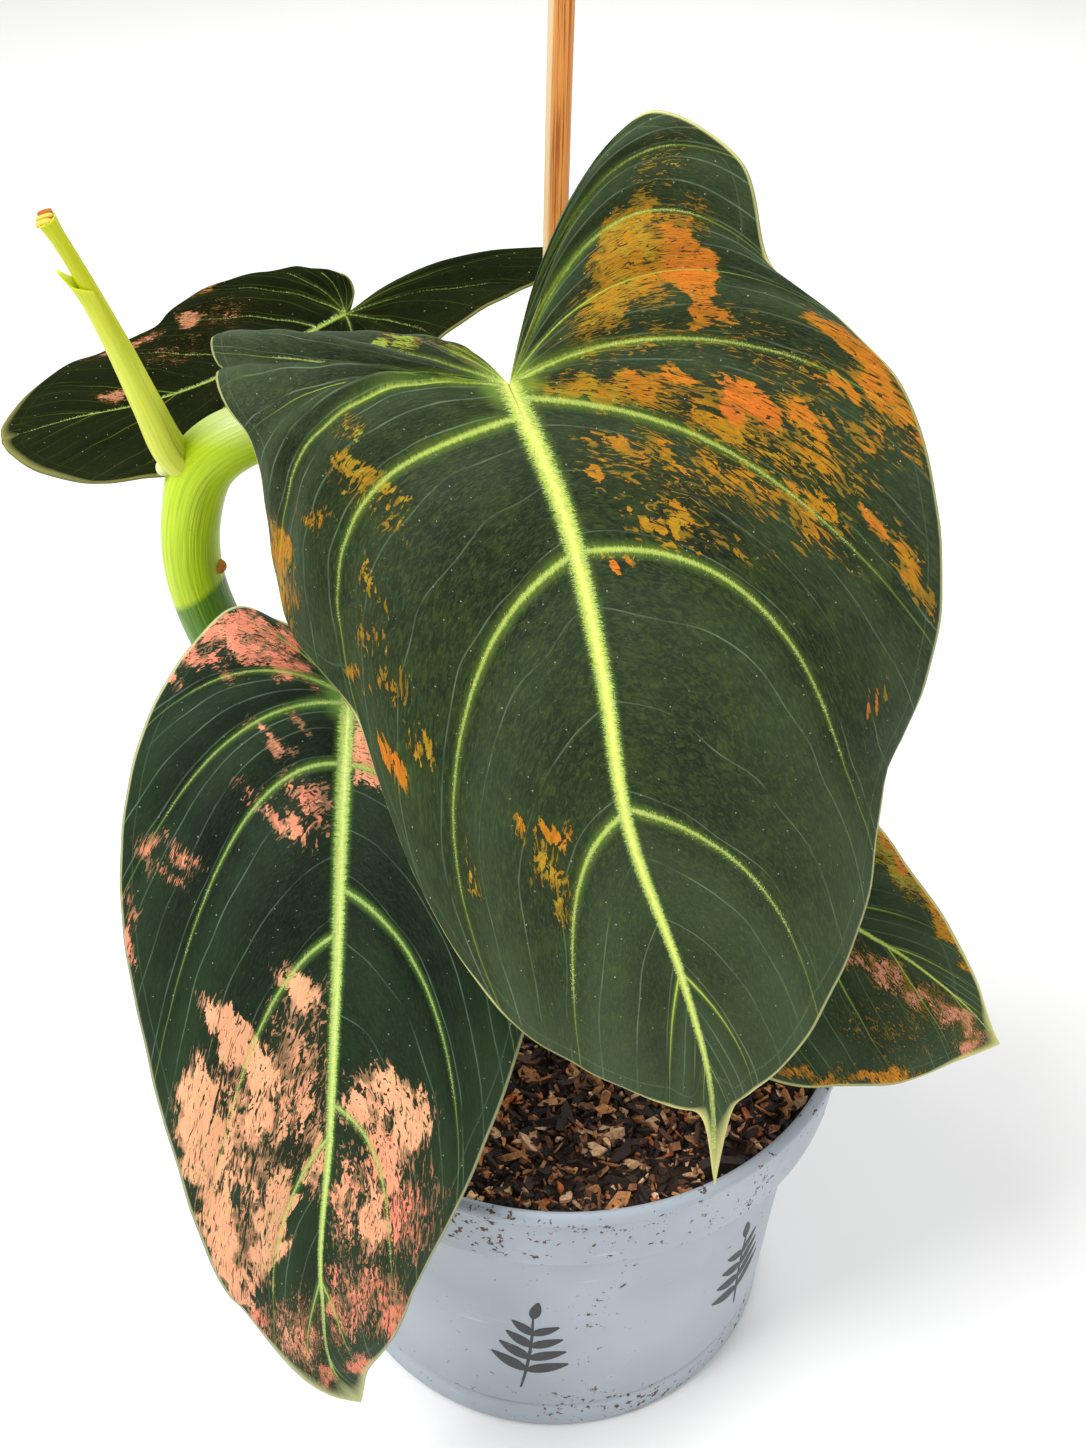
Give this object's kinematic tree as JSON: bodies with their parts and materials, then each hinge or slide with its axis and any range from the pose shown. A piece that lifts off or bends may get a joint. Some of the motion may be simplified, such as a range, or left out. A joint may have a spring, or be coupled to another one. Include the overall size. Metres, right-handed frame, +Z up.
{
  "type": "potted aroid house plant",
  "caption": "Potted climbing aroid with dark heart-shaped blades on thin petioles, a bent green stem, a split-bamboo stake and a plastic nursery pot of bark soil.",
  "frame": {"origin": "middle of the pot's flat base", "axes": "+Z up along the pot's axis, -Y towards the side that the front blade faces, +X to that side's right"},
  "size_m": [0.1892, 0.1605, 0.312],
  "materials": {
    "pot_plastic": "satin, lightly scratched",
    "potting_mix": "damp soil with bark chips",
    "bamboo": "bare split cane",
    "stem_skin": "smooth living stem",
    "cut_petiole_skin": "smooth living stem",
    "petiole_skin": "smooth living stem",
    "leaf_blade": "velvety leaf, variegated"
  },
  "bodies": {
    "root": {"pot": "pot_plastic", "soil": "potting_mix", "stake": "bamboo", "stem": "stem_skin", "cut_petiole": "cut_petiole_skin", "petiole_sheath": "cut_petiole_skin", "stem_bud": "petiole_skin", "front_blade": "leaf_blade", "front_petiole": "petiole_skin", "left_blade": "leaf_blade", "left_petiole": "petiole_skin", "back_blade": "leaf_blade", "back_petiole": "petiole_skin", "right_blade": "leaf_blade", "right_petiole": "petiole_skin"}
  },
  "joints": []
}
